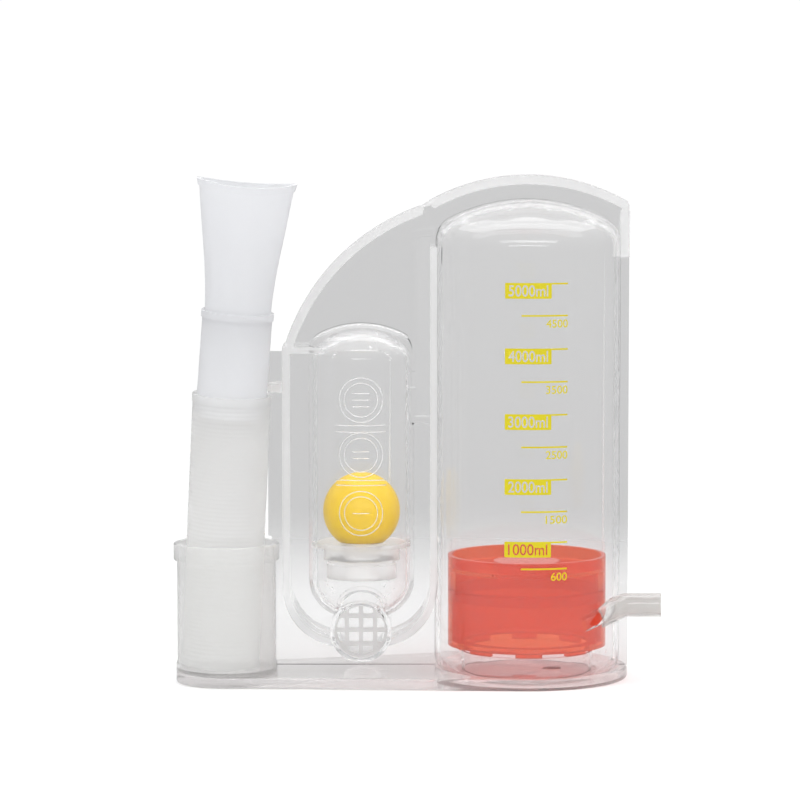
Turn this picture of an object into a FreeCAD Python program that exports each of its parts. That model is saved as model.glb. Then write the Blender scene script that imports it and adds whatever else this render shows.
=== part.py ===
import FreeCAD, Part
import math
import os
import re
import Sketcher

# Incentive spirometer, in millimetres. The front of the object faces -Y and +Z is up.
# Y = 0 is the plane where the two clear shells meet, Z = 0 is the underside of the base plate,
# and X = 0 lies halfway along the base plate.

# Driving dimensions
SIZES = {
    # base plate: a teardrop round the volume chamber at one end and the hose cup at the other
    "base_height": 6.3,
    "base_big_radius": 55.4,
    "base_edge_round": 1.4,
    "recess_floor": 1.2,
    "recess_gap": 0.15,
    "vent_radius": 5.0,
    "vent_circle": 14.0,
    # housing flange and its outline
    "web_thickness": 3.2,
    "web_left": -74.0,
    "web_relief": 1.8,
    "relief_rise": 1.5,
    "web_right": 124.2,
    "web_shoulder_top": 180.0,
    "web_corner": 4.0,
    "fin_start_x": -65.9,
    "notch_x": 10.6,
    "notch_top": 260.3,
    "fin_radius": 119.9,
    "fin_centre_x": 49.3,
    "fin_centre_height": 146.8,
    "fin_rim_from": 109.5,
    "fin_rim_sweep": 54.0,
    "arch_end_top": 262.0,
    "arch_radius": 111.2,
    "arch_centre_height": 165.6,
    "arch_rim_from": 60.5,
    "arch_rim_sweep": 58.5,
    "rim_width": 5.0,
    "fin_rim_depth": 10.0,
    "arch_rim_depth": 12.0,
    "side_rim_bottom": 232.0,
    # volume chamber
    "chamber_x": 68.6,
    "chamber_outer": 51.0,
    "chamber_inner": 47.7,
    "chamber_top": 263.7,
    "chamber_shoulder": 248.6,
    "chamber_inner_top": 258.9,
    "chamber_inner_shoulder": 245.6,
    "dome_round": 13.0,
    "dome_outer_round": 15.0,
    "chamber_floor": 3.2,
    "chamber_bottom_round": 11.0,
    # flow tube
    "flow_x": -22.6,
    "flow_outer": 29.0,
    "flow_inner": 24.6,
    "flow_top": 195.6,
    "flow_shoulder": 186.6,
    "flow_inner_top": 188.5,
    "flow_inner_shoulder": 180.2,
    "flow_round": 8.0,
    "flow_outer_round": 11.0,
    "flow_bottom": 33.0,
    "flow_bottom_round": 21.0,
    "flow_inner_bottom": 37.4,
    "flow_inner_bottom_round": 17.0,
    # tray wall: the deep U round the flow tube
    "tray_x": -23.3,
    "tray_half_width": 42.4,
    "tray_wall": 4.1,
    "tray_bottom": 18.8,
    "tray_corner": 33.0,
    "tray_depth": 38.0,
    "tray_right_top": 238.0,
    "ledge_height": 3.4,
    "notch_rib_width": 4.6,
    "notch_rib_drop": 13.0,
    "notch_rib_slant": 6.6,
    # duct from the top of the flow tube to the top of the chamber
    "duct_left": 3.0,
    "duct_wall": 4.0,
    "duct_right": 19.1,
    "duct_depth": 16.0,
    "duct_cavity_depth": 11.0,
    "duct_cavity_width": 8.0,
    "duct_bottom": 140.0,
    "duct_top": 247.0,
    "duct_corner": 9.0,
    "duct_roof": 4.0,
    "passage_low": 160.0,
    "passage_high": 228.0,
    "passage_height": 9.0,
    "passage_depth": 10.0,
    # inlet port and grille
    "port_x": -22.7,
    "port_height": 28.7,
    "port_outer": 16.8,
    "port_inner": 14.6,
    "port_depth": 59.0,
    "port_back_wall": 2.2,
    "grille_setback": 7.5,
    "grille_thickness": 2.0,
    "grille_rim": 1.5,
    "grille_bar": 2.4,
    "grille_pitch": 7.7,
    # side nozzle: a bent spout on the front right of the chamber
    "nozzle_outer": 6.5,
    "nozzle_bore": 4.6,
    "nozzle_y": -21.0,
    "nozzle_height": 42.3,
    "nozzle_bend_x": 121.0,
    "nozzle_length": 20.2,
    "nozzle_root_back": 15.0,
    "nozzle_root_drop": 11.0,
    "nozzle_tilt": 61.0,
    "nozzle_bend_radius": 8.0,
    "root_stretch": 1.6,
    # piston
    "piston_radius": 43.6,
    "piston_wall": 2.4,
    "piston_bottom": 18.2,
    "piston_seam": 49.4,
    "piston_top": 67.8,
    "piston_step": 0.5,
    "piston_deck_top": 61.4,
    "piston_deck": 2.6,
    "piston_boss_radius": 18.4,
    "piston_boss_top": 64.2,
    "piston_spigot": 6.0,
    "spigot_wall": 1.8,
    "foot_radius": 38.0,
    "foot_width": 3.4,
    "foot_bottom": 15.3,
    "foot_angle": 11.0,
    "stop_top": 15.0,
    "stop_radius": 36.5,
    "stop_width": 1.6,
    "foot_count": 8,
    # flow ball and its seat
    "ball_radius": 21.2,
    "ball_wall": 1.3,
    "ball_height": 92.0,
    "seat_body_radius": 21.0,
    "seat_top": 75.0,
    "seat_flange": 2.6,
    "seat_bottom": 65.4,
    "seat_mouth": 13.6,
    "seat_throat": 9.0,
    "cage_radius": 19.2,
    "cage_bottom": 55.0,
    "cage_groove_top": 63.0,
    "cage_groove_radius": 17.6,
    "cage_bore": 9.0,
    # hose cup
    "cup_x": -96.3,
    "cup_y": -18.7,
    "cup_outer": 27.1,
    "cup_wall": 1.2,
    "cup_floor": 1.75,
    "cup_top": 76.6,
    "collar_outer": 28.9,
    "collar_height": 9.4,
    "collar_round": 0.8,
    "foot_outer": 27.7,
    "foot_height": 4.6,
    # hose, standing in the cup and leaning to the right and towards the front
    "stack_x": -99.9,
    "stack_y": -17.0,
    "stack_height": 9.95,
    "hose_right": 2.75,
    "hose_forward": 3.0,
    "hose_outer": 21.3,
    "hose_groove": 20.4,
    "hose_bore": 19.8,
    "hose_length": 149.0,
    "cuff_height": 4.35,
    "cuff_lip": 0.25,
    "ring_pitch": 2.3,
    "ring_count": 61,
    # connector and mouthpiece, which stand in the soft end of the hose and lean further
    "upper_right": 4.4,
    "upper_forward": 3.2,
    "connector_radius": 19.0,
    "connector_bore": 17.2,
    "connector_depth": 12.0,
    "connector_top": 45.4,
    "collar_ring_outer": 19.7,
    "collar_ring_height": 3.9,
    "neck_outer": 18.0,
    "neck_spigot": 17.15,
    "neck_depth": 16.0,
    "mouth_wall": 1.7,
    "mouth_low": 60.0,
    "mouth_low_wide": 18.8,
    "mouth_low_deep": 17.9,
    "mouth_mid": 85.5,
    "mouth_mid_wide": 21.9,
    "mouth_mid_deep": 17.0,
    "mouth_high": 119.0,
    "mouth_high_wide": 26.1,
    "mouth_high_deep": 15.6,
    "lip_top": 114.05,
    "lip_height": 3.7,
    "lip_low_wide": 25.7,
    "lip_low_deep": 16.2,
    "lip_high_wide": 27.9,
    "lip_high_deep": 17.6,
    "saddle_radius": 149.0,
    # hose clip
    "clip_low": 158.6,
    "clip_high": 163.8,
    "clip_tip_low": 159.4,
    "clip_tip_high": 162.2,
    "clip_reach": 12.0,
    "clip_inner": 21.9,
    "clip_depth": 17.1,
}

GRILLE_COUNT = 4

doc = FreeCAD.newDocument("incentive_spirometer")
sheet = doc.addObject("Spreadsheet::Sheet", "dims")
for row, (alias, size) in enumerate(SIZES.items(), start=1):
    sheet.set(f"A{row}", alias)
    sheet.set(f"B{row}", str(size))
    sheet.setAlias(f"B{row}", alias)
doc.recompute()


# A place or size is written once, as a sum of words such as "chamber_x - 2*rim_width"
def factor(word):
    return SIZES[word] if word in SIZES else float(word)


def term(word):
    result = 1.0
    for part in word.split("*"):
        top, *bottoms = part.split("/")
        result *= factor(top)
        for bottom in bottoms:
            result /= factor(bottom)
    return result


def value(text):
    total, sign = 0.0, 1
    for word in text.split():
        if word in ("+", "-"):
            sign = 1 if word == "+" else -1
        else:
            total += sign * term(word)
    return total


def link(text):
    def cell(match):
        word = match.group()
        return f"dims.{word}" if word in SIZES else word

    return re.sub(r"[a-z]\w*", cell, text)


def bind(thing, **properties):
    for name, text in properties.items():
        thing.setExpression(name, link(text))
    return thing


def place(thing, x="0", y="0", z="0"):
    for axis, text in (("x", x), ("y", y), ("z", z)):
        thing.setExpression(f"Placement.Base.{axis}", link(text))
    return thing


def plane(body, role):
    return next(item for item in body.Origin.OriginFeatures if item.Role == role)


def new_body(label):
    return doc.addObject("PartDesign::Body", label)


def new_sketch(body, name, role, height=None):
    sketch = body.newObject("Sketcher::SketchObject", name)
    sketch.AttachmentSupport = (plane(body, role), [""])
    sketch.MapMode = "FlatFace"
    if height:
        sketch.setExpression("AttachmentOffset.Base.z", link(height))
    return sketch


# Adds a constraint whose size follows the sheet
def size_constraint(sketch, kind, *arguments, text):
    index = sketch.addConstraint(Sketcher.Constraint(kind, *arguments, value(text)))
    name = f"size{index}"
    sketch.renameConstraint(index, name)
    sketch.setExpression(f"Constraints.{name}", link(text))


def locate(sketch, geometry, position, x, y):
    for kind, text, axis in (("DistanceX", x, -2), ("DistanceY", y, -1)):
        if value(text) == 0:
            sketch.addConstraint(Sketcher.Constraint("PointOnObject", geometry, position, axis))
        else:
            size_constraint(sketch, kind, -1, 1, geometry, position, text=text)


def arc_between(start, end, centre, turn_left):
    def angle(point):
        return math.atan2(point.y - centre.y, point.x - centre.x)

    circle = Part.Circle(centre, FreeCAD.Vector(0, 0, 1), start.distanceToPoint(centre))
    first, last = (start, end) if turn_left else (end, start)
    return Part.ArcOfCircle(circle, angle(first), angle(last))


# Draws a closed outline. Each corner is (x, y), (x, y, radius, side) where an arc leaves it
# whose centre lies on that side of the way on, or (x, y, "crown") where the arc leaving it is
# level on the vertical axis.
def outline(sketch, corners):
    count = len(corners)
    points = [FreeCAD.Vector(value(corner[0]), value(corner[1]), 0) for corner in corners]
    starts, ends = [], []
    for index, corner in enumerate(corners):
        start, end = points[index], points[(index + 1) % count]
        if len(corner) == 2:
            sketch.addGeometry(Part.LineSegment(start, end), False)
            starts.append(1)
            ends.append(2)
            continue
        if corner[2] == "crown":
            on_axis, off_axis = (end, start) if end.x == 0 else (start, end)
            rise = on_axis.y - off_axis.y
            radius = (off_axis.x ** 2 + rise ** 2) / (2 * rise)
            centre = FreeCAD.Vector(0, on_axis.y - radius, 0)
            turn_left = (start.x - end.x) * rise > 0
        else:
            radius, side = value(corner[2]), corner[3]
            middle, along = (start + end) * 0.5, (end - start).normalize()
            normal = FreeCAD.Vector(-along.y, along.x, 0)
            reach = math.sqrt(max(radius ** 2 - middle.distanceToPoint(start) ** 2, 0))
            turn_left = side == "left"
            centre = middle + normal * (reach if turn_left else -reach)
        sketch.addGeometry(arc_between(start, end, centre, turn_left), False)
        starts.append(1 if turn_left else 2)
        ends.append(2 if turn_left else 1)
    for index, corner in enumerate(corners):
        following = (index + 1) % count
        sketch.addConstraint(
            Sketcher.Constraint("Coincident", index, ends[index], following, starts[following])
        )
        locate(sketch, index, starts[index], corner[0], corner[1])
        if len(corner) == 4:
            size_constraint(sketch, "Radius", index, text=corner[2])
        elif len(corner) == 3:
            sketch.addConstraint(Sketcher.Constraint("PointOnObject", index, 3, -2))


def circle(sketch, x, y, radius):
    centre = FreeCAD.Vector(value(x), value(y), 0)
    index = sketch.addGeometry(Part.Circle(centre, FreeCAD.Vector(0, 0, 1), value(radius)), False)
    locate(sketch, index, 3, x, y)
    size_constraint(sketch, "Radius", index, text=radius)


def feature(body, kind, name, sketch=None, **properties):
    made = body.newObject(f"PartDesign::{kind}", name)
    if sketch:
        made.Profile = sketch
    return bind(made, **properties)


def pad(body, name, sketch, length, symmetric=False, flipped=False):
    made = feature(body, "Pad", name, sketch, Length=length)
    made.SideType = "Symmetric" if symmetric else "One side"
    made.Reversed = flipped
    return made


def pocket(body, name, sketch, length, flipped=False, symmetric=False):
    made = feature(body, "Pocket", name, sketch, Length=length)
    made.SideType = "Symmetric" if symmetric else "One side"
    made.Reversed = flipped
    return made


# A body turned about its own vertical axis from a half section of (radius, height) corners
def turned(label, corners, x="0", y="0", z="0"):
    body = new_body(label)
    sketch = new_sketch(body, f"{label}_section", "XZ_Plane")
    outline(sketch, corners)
    made = feature(body, "Revolution", f"{label}_turn", sketch)
    made.ReferenceAxis = (sketch, ["V_Axis"])
    made.Angle = 360
    place(body, x, y, z)
    return body


# A body cut from a flat outline in X and Z, as deep in Y as said, half to each side
def slab(label, corners, depth):
    body = new_body(label)
    sketch = new_sketch(body, f"{label}_outline", "XZ_Plane")
    outline(sketch, corners)
    pad(body, f"{label}_pad", sketch, depth, symmetric=True)
    return body


def round_edges(body, name, radius, wanted):
    doc.recompute()
    base = body.Tip
    names = [f"Edge{i}" for i, edge in enumerate(base.Shape.Edges, start=1) if wanted(edge)]
    if not names:
        raise RuntimeError(f"no edge to round for {name}")
    made = feature(body, "Fillet", name, Radius=radius)
    made.Base = (base, names)
    return made


# True for a full circle of that radius and height, in the body's own frame
def ring_edge(radius, height):
    def wanted(edge):
        bounds = edge.BoundBox
        return (
            not edge.Degenerated
            and bounds.ZLength < 0.01
            and abs(bounds.XLength - 2 * value(radius)) < 0.01
            and abs(bounds.ZMin - value(height)) < 0.01
        )

    return wanted


def box(name, low, high):
    made = doc.addObject("Part::Box", name)
    sides = zip(("Length", "Width", "Height"), low, high)
    bind(made, **{side: f"({end}) - ({start})" for side, start, end in sides})
    return place(made, *low)


def cylinder(name, radius, height, x, y, z, turn=None, **more):
    made = bind(doc.addObject("Part::Cylinder", name), Radius=radius, Height=height, **more)
    if turn:
        made.Placement = FreeCAD.Placement(FreeCAD.Vector(), turn)
    return place(made, x, y, z)


def combine(kind, name, shapes):
    made = doc.addObject(f"Part::{kind}", name)
    made.Shapes = shapes
    return made


def cut(name, base, tool):
    made = doc.addObject("Part::Cut", name)
    made.Base, made.Tool = base, tool
    return made


X_AXIS = FreeCAD.Vector(1, 0, 0)
Y_AXIS = FreeCAD.Vector(0, 1, 0)
Z_AXIS = FreeCAD.Vector(0, 0, 1)
ALONG_Y = FreeCAD.Rotation(X_AXIS, 90)


# Base plate: two end circles joined by their tangents, with a recess for the chamber
def make_base_plate():
    body = new_body("base_plate")
    sketch = new_sketch(body, "base_outline", "XY_Plane")
    big = FreeCAD.Vector(value("chamber_x"), 0, 0)
    small = FreeCAD.Vector(value("cup_x"), value("cup_y"), 0)
    big_radius, small_radius = value("base_big_radius"), value("foot_outer")
    apart = small - big
    bearing = math.atan2(apart.y, apart.x)
    opening = math.acos((big_radius - small_radius) / apart.Length)
    touches = []
    for centre, radius in ((big, big_radius), (small, small_radius)):
        for turn in (opening, -opening):
            angle = bearing + turn
            touches.append(centre + FreeCAD.Vector(math.cos(angle), math.sin(angle), 0) * radius)
    big_front, big_back, small_front, small_back = touches
    sketch.addGeometry(arc_between(big_front, big_back, big, True), False)
    sketch.addGeometry(Part.LineSegment(big_back, small_back), False)
    sketch.addGeometry(arc_between(small_back, small_front, small, True), False)
    sketch.addGeometry(Part.LineSegment(small_front, big_front), False)
    for geometry in range(4):
        sketch.addConstraint(Sketcher.Constraint("Tangent", geometry, 2, (geometry + 1) % 4, 1))
    locate(sketch, 0, 3, "chamber_x", "0")
    locate(sketch, 2, 3, "cup_x", "cup_y")
    size_constraint(sketch, "Radius", 0, text="base_big_radius")
    size_constraint(sketch, "Radius", 2, text="foot_outer")
    pad(body, "base_pad", sketch, "base_height")
    round_edges(body, "base_rounding", "base_edge_round", lambda edge: edge.BoundBox.ZLength < 0.01)
    recess = new_sketch(body, "recess_outline", "XY_Plane", "base_height")
    circle(recess, "chamber_x", "0", "chamber_outer + recess_gap")
    pocket(body, "recess", recess, "base_height - recess_floor")
    vent = new_sketch(body, "vent_outline", "XY_Plane", "base_height")
    circle(vent, "chamber_x + vent_circle", "0", "vent_radius")
    pocket(body, "vent", vent, "base_height")
    return body


def ring_sector(name, centre_x, centre_height, radius, depth, start, sweep):
    made = cylinder(name, radius, depth, centre_x, f"{depth}/2", centre_height, Angle=sweep)
    turn = ALONG_Y.multiply(FreeCAD.Rotation(Z_AXIS, value(start)))
    made.Placement = FreeCAD.Placement(made.Placement.Base, turn)
    return made


def make_rim(name, centre_x, centre_height, radius, depth, start, sweep):
    outer = ring_sector(f"{name}_outer", centre_x, centre_height, radius, depth, start, sweep)
    inner = cylinder(
        f"{name}_inner", f"{radius} - rim_width", f"2*{depth}", centre_x, depth, centre_height,
        turn=ALONG_Y,
    )
    return cut(name, outer, inner)


def make_web():
    body = slab(
        "web",
        [
            ("web_left + web_relief", "base_height"),
            ("web_left + web_relief", "cup_top + relief_rise"),
            ("web_left", "cup_top + relief_rise"),
            ("web_left", "web_shoulder_top"),
            ("fin_start_x", "web_shoulder_top", "fin_radius", "right"),
            ("notch_x", "notch_top", "arch_radius", "right"),
            ("web_right", "arch_end_top"),
            ("web_right", "base_height"),
        ],
        "web_thickness",
    )

    def top_right(edge):
        bounds = edge.BoundBox
        along_y = bounds.XLength < 0.01 and bounds.ZLength < 0.01
        return along_y and bounds.XMin > 100 and bounds.ZMin > 100

    round_edges(body, "web_corner_rounding", "web_corner", top_right)
    return body


def make_tray_wall():
    left = "tray_x - tray_half_width"
    right = "tray_x + tray_half_width"
    return slab(
        "tray_wall",
        [
            (left, "web_shoulder_top"),
            (left, "tray_bottom + tray_corner", "tray_corner", "left"),
            (f"{left} + tray_corner", "tray_bottom"),
            (f"{right} - tray_corner", "tray_bottom", "tray_corner", "left"),
            (right, "tray_bottom + tray_corner"),
            (right, "tray_right_top"),
            (f"{right} - tray_wall", "tray_right_top"),
            (f"{right} - tray_wall", "tray_bottom + tray_corner", "tray_corner - tray_wall", "right"),
            (f"{right} - tray_corner", "tray_bottom + tray_wall"),
            (f"{left} + tray_corner", "tray_bottom + tray_wall", "tray_corner - tray_wall", "right"),
            (f"{left} + tray_wall", "tray_bottom + tray_corner"),
            (f"{left} + tray_wall", "web_shoulder_top"),
        ],
        "tray_depth",
    )


def make_chamber_form(name, radius, bottom, shoulder, top, dome_round, bottom_round=None):
    body = turned(
        name,
        [("0", bottom), (radius, bottom), (radius, shoulder, "crown"), ("0", top)],
        x="chamber_x" if name.startswith("chamber") else "flow_x",
    )
    round_edges(body, f"{name}_dome_rounding", dome_round, ring_edge(radius, shoulder))
    if bottom_round:
        round_edges(body, f"{name}_bottom_rounding", bottom_round, ring_edge(radius, bottom))
    return body


def make_duct_form():
    left, right = "duct_left", "duct_right"
    return slab(
        "duct_form",
        [
            (left, "duct_bottom"),
            (left, "duct_top - duct_corner", "duct_corner", "right"),
            (f"{left} + duct_corner", "duct_top"),
            (f"{right} + duct_wall", "duct_top"),
            (f"{right} + duct_wall", "passage_high - duct_roof"),
            (right, "passage_high - duct_roof"),
            (right, "duct_bottom"),
        ],
        "duct_depth",
    )


def make_duct_cavity():
    left = "duct_left + duct_wall"
    right = f"{left} + duct_cavity_width"
    return slab(
        "duct_cavity",
        [
            (left, "duct_bottom + duct_roof"),
            (left, "duct_top - duct_roof - duct_corner/2", "duct_corner/2", "right"),
            (f"{left} + duct_corner/2", "duct_top - duct_roof"),
            (right, "duct_top - duct_roof"),
            (right, "duct_bottom + duct_roof"),
        ],
        "duct_cavity_depth",
    )


# The spout's own frame has its origin at the bend, x along the straight end and z away from the
# root, so that its path is flat
def make_spout(label, radius, stretch="1", overrun="0"):
    body = new_body(label)
    end_x, root_x, root_z = (
        value(f"nozzle_length + {overrun}"),
        -value(f"{stretch}*nozzle_root_back"),
        -value(f"{stretch}*nozzle_root_drop"),
    )
    turn = math.atan2(-root_z, -root_x)
    tangent = value("nozzle_bend_radius") * math.tan(turn / 2)
    first = FreeCAD.Vector(tangent, 0, 0)
    last = FreeCAD.Vector(-math.cos(turn), -math.sin(turn), 0) * tangent
    centre = FreeCAD.Vector(tangent, -value("nozzle_bend_radius"), 0)
    path = new_sketch(body, f"{label}_path", "XZ_Plane")
    path.addGeometry(Part.LineSegment(FreeCAD.Vector(end_x, 0, 0), first), False)
    path.addGeometry(arc_between(first, last, centre, True), False)
    path.addGeometry(Part.LineSegment(last, FreeCAD.Vector(root_x, root_z, 0)), False)
    path.addConstraint(Sketcher.Constraint("Tangent", 0, 2, 1, 1))
    path.addConstraint(Sketcher.Constraint("Tangent", 1, 2, 2, 1))
    locate(path, 0, 1, f"nozzle_length + {overrun}", "0")
    locate(path, 2, 2, f"0 - {stretch}*nozzle_root_back", f"0 - {stretch}*nozzle_root_drop")
    size_constraint(path, "Radius", 1, text="nozzle_bend_radius")
    path.addConstraint(Sketcher.Constraint("Horizontal", 0))
    section = new_sketch(body, f"{label}_section", "YZ_Plane", f"nozzle_length + {overrun}")
    circle(section, "0", "0", radius)
    pipe = feature(body, "AdditivePipe", f"{label}_pipe", section)
    pipe.Spine = path
    body.Placement = FreeCAD.Placement(
        FreeCAD.Vector(), FreeCAD.Rotation(X_AXIS, -value("nozzle_tilt"))
    )
    return place(body, "nozzle_bend_x", "nozzle_y", "nozzle_height")


def make_notch_rib():
    right = "notch_x + notch_rib_width"
    foot = "notch_top - notch_rib_drop"
    return slab(
        "notch_rib",
        [
            ("notch_x + 1", "notch_top - 1"),
            (right, "notch_top"),
            (f"{right} + notch_rib_slant", foot),
            ("notch_x + 1 + notch_rib_slant", foot),
        ],
        "arch_rim_depth",
    )


# The clear housing as one form, which the parting plane then splits into two shells
def make_housing():
    solids = [
        make_web(),
        make_rim(
            "fin_rim", "fin_centre_x", "fin_centre_height", "fin_radius", "fin_rim_depth",
            "fin_rim_from", "fin_rim_sweep",
        ),
        make_rim(
            "arch_rim", "chamber_x", "arch_centre_height", "arch_radius", "arch_rim_depth",
            "arch_rim_from", "arch_rim_sweep",
        ),
        make_notch_rib(),
        make_tray_wall(),
        make_chamber_form(
            "chamber_outer_form", "chamber_outer", "recess_floor", "chamber_shoulder", "chamber_top",
            "dome_outer_round", "chamber_bottom_round",
        ),
        make_chamber_form(
            "flow_outer_form", "flow_outer", "flow_bottom", "flow_shoulder", "flow_top",
            "flow_outer_round", "flow_bottom_round",
        ),
        make_duct_form(),
        box(
            "side_rim",
            ("web_right - rim_width", "0 - arch_rim_depth/2", "side_rim_bottom"),
            ("web_right", "arch_rim_depth/2", "arch_end_top - rim_width"),
        ),
        box(
            "ledge",
            ("tray_x - tray_half_width", "0 - tray_depth/2", "web_shoulder_top"),
            ("flow_x", "tray_depth/2", "web_shoulder_top + ledge_height"),
        ),
        cylinder(
            "port_form", "port_outer", "port_depth", "port_x", "port_depth/2", "port_height",
            turn=ALONG_Y,
        ),
    ]
    cavities = [
        make_chamber_form(
            "chamber_cavity", "chamber_inner", "chamber_floor", "chamber_inner_shoulder",
            "chamber_inner_top", "dome_round", "chamber_bottom_round",
        ),
        make_chamber_form(
            "flow_cavity", "flow_inner", "flow_inner_bottom", "flow_inner_shoulder",
            "flow_inner_top", "flow_round", "flow_inner_bottom_round",
        ),
        make_duct_cavity(),
        box(
            "low_passage",
            ("flow_x + flow_outer - 2*duct_wall", "0 - passage_depth/2", "passage_low"),
            ("duct_left + duct_wall + 1", "passage_depth/2", "passage_low + passage_height"),
        ),
        box(
            "high_passage",
            ("duct_left + duct_wall + 1", "0 - passage_depth/2", "passage_high"),
            (
                "chamber_x - chamber_inner + duct_wall",
                "passage_depth/2",
                "passage_high + passage_height",
            ),
        ),
        cylinder(
            "port_bore", "port_inner", "port_depth - port_back_wall", "port_x",
            "port_depth/2 - port_back_wall", "port_height", turn=ALONG_Y,
        ),
        cylinder(
            "floor_vent", "vent_radius", "2*chamber_floor", "chamber_x + vent_circle", "0",
            "0 - chamber_floor",
        ),
        make_spout("spout_bore", "nozzle_bore", stretch="root_stretch", overrun="1"),
    ]
    filled = combine("MultiFuse", "housing_filled", solids)
    hollow = combine("MultiFuse", "housing_hollow", cavities)
    return cut("housing", filled, hollow)


# Each shell is the housing's half on one side of the parting plane Y = 0
def make_shells():
    housing = make_housing()
    sides = {"front_shell": ("0 - port_depth", "0"), "rear_shell": ("0", "port_depth")}
    shells = []
    for label, (near, far) in sides.items():
        half_space = box(
            f"{label}_side",
            ("2*web_left", near, "0 - base_height"),
            ("2*web_right", far, "2*arch_end_top"),
        )
        shells.append(combine("MultiCommon", label, [housing, half_space]))
    return shells


def make_outlet_nozzle():
    chamber, bore = doc.getObject("chamber_outer_form"), doc.getObject("spout_bore")
    removed = combine("MultiFuse", "nozzle_removed", [chamber, bore])
    return cut("outlet_nozzle", make_spout("spout_form", "nozzle_outer"), removed)


# Grille: a disc with a square lattice of square holes, and a plain rim round it
def make_inlet_grille():
    lattice = new_body("grille_lattice")
    disc = new_sketch(lattice, "grille_disc", "XZ_Plane")
    circle(disc, "0", "0", "port_inner")
    pad(lattice, "grille_pad", disc, "grille_thickness")
    hole = new_sketch(lattice, "grille_hole_outline", "XZ_Plane")
    low = "0 - 2*grille_pitch + grille_bar/2"
    high = "0 - grille_pitch - grille_bar/2"
    outline(hole, [(low, low), (high, low), (high, high), (low, high)])
    first = pocket(lattice, "grille_hole", hole, "grille_thickness", flipped=True)
    grid = feature(lattice, "LinearPattern", "grille_holes")
    grid.Originals = [first]
    grid.Direction = (hole, ["H_Axis"])
    grid.Direction2 = (hole, ["V_Axis"])
    grid.Occurrences = grid.Occurrences2 = GRILLE_COUNT
    bind(grid, Length=f"{GRILLE_COUNT - 1}*grille_pitch", Length2=f"{GRILLE_COUNT - 1}*grille_pitch")
    lattice.Tip = grid
    front = "grille_setback + grille_thickness - port_depth/2"
    place(lattice, "port_x", front, "port_height")
    ring = cut(
        "grille_rim",
        cylinder(
            "grille_rim_outer", "port_inner", "grille_thickness", "port_x", front, "port_height",
            turn=ALONG_Y,
        ),
        cylinder(
            "grille_rim_inner", "port_inner - grille_rim", "3*grille_thickness", "port_x",
            f"{front} + grille_thickness", "port_height", turn=ALONG_Y,
        ),
    )
    return combine("MultiFuse", "inlet_grille", [lattice, ring])


# Piston: the crown stands on the skirt and reaches into it
def make_piston_crown():
    bore = "piston_radius - piston_wall"
    under = "piston_deck_top - piston_deck"
    return turned(
        "piston_crown",
        [
            ("0", "piston_boss_top - piston_deck"),
            ("piston_boss_radius - piston_deck", "piston_boss_top - piston_deck"),
            ("piston_boss_radius - piston_deck", under),
            (f"{bore} - spigot_wall", under),
            (f"{bore} - spigot_wall", "piston_seam - piston_spigot"),
            (bore, "piston_seam - piston_spigot"),
            (bore, "piston_seam"),
            ("piston_radius", "piston_seam"),
            ("piston_radius", "piston_top"),
            (bore, "piston_top"),
            (bore, "piston_deck_top"),
            ("piston_boss_radius", "piston_deck_top"),
            ("piston_boss_radius", "piston_boss_top"),
            ("0", "piston_boss_top"),
        ],
        x="chamber_x",
    )


# A foot under the skirt, turned through its own angle and repeated round the ring
def turned_feet(body, name, corners, sweep):
    section = new_sketch(body, f"{name}_section", "XZ_Plane")
    outline(section, corners)
    made = feature(body, "Revolution", name, section, Angle=sweep)
    made.ReferenceAxis = (section, ["V_Axis"])
    made.Midplane = True
    ring = feature(body, "PolarPattern", f"{name}_ring", Occurrences="foot_count")
    ring.Originals = [made]
    ring.Axis = (section, ["V_Axis"])
    ring.Angle = 360
    body.Tip = ring


def make_piston_skirt():
    bore = "piston_radius - piston_wall"
    foot_inner = "foot_radius - foot_width"
    body = turned(
        "piston_skirt",
        [
            (foot_inner, "piston_bottom"),
            ("piston_radius", "piston_bottom"),
            ("piston_radius", "piston_seam - piston_step"),
            ("piston_radius - piston_step", "piston_seam"),
            (bore, "piston_seam"),
            (bore, "piston_bottom + piston_deck"),
            (foot_inner, "piston_bottom + piston_deck"),
        ],
        x="chamber_x",
    )
    turned_feet(
        body, "skirt_foot",
        [
            (foot_inner, "foot_bottom"),
            ("foot_radius", "foot_bottom"),
            ("foot_radius", "piston_bottom"),
            (foot_inner, "piston_bottom"),
        ],
        "2*foot_angle",
    )
    return body


# Stop ring: a thin collar on the chamber floor, which the piston's feet stand on
def make_piston_stop():
    inner = "stop_radius - stop_width"
    return turned(
        "piston_stop",
        [
            (inner, "chamber_floor"),
            ("stop_radius", "chamber_floor"),
            ("stop_radius", "stop_top"),
            (inner, "stop_top"),
        ],
        x="chamber_x",
    )


def sphere(name, radius):
    made = bind(doc.addObject("Part::Sphere", name), Radius=radius)
    return place(made, "flow_x", "0", "ball_height")


def make_float_ball():
    return cut(
        "float_ball", sphere("ball_outside", "ball_radius"),
        sphere("ball_inside", "ball_radius - ball_wall"),
    )


def make_ball_seat():
    return turned(
        "ball_seat",
        [
            ("seat_throat", "seat_bottom"),
            ("seat_body_radius", "seat_bottom"),
            ("seat_body_radius", "seat_top - seat_flange"),
            ("flow_inner", "seat_top - seat_flange"),
            ("flow_inner", "seat_top"),
            ("seat_mouth", "seat_top"),
            ("seat_throat", "seat_top - seat_mouth + seat_throat"),
        ],
        x="flow_x",
    )


def make_seat_cage():
    return turned(
        "seat_cage",
        [
            ("cage_bore", "cage_bottom"),
            ("cage_radius", "cage_bottom"),
            ("cage_radius", "cage_groove_top"),
            ("cage_groove_radius", "cage_groove_top"),
            ("cage_groove_radius", "seat_bottom"),
            ("cage_bore", "seat_bottom"),
        ],
        x="flow_x",
    )


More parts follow.
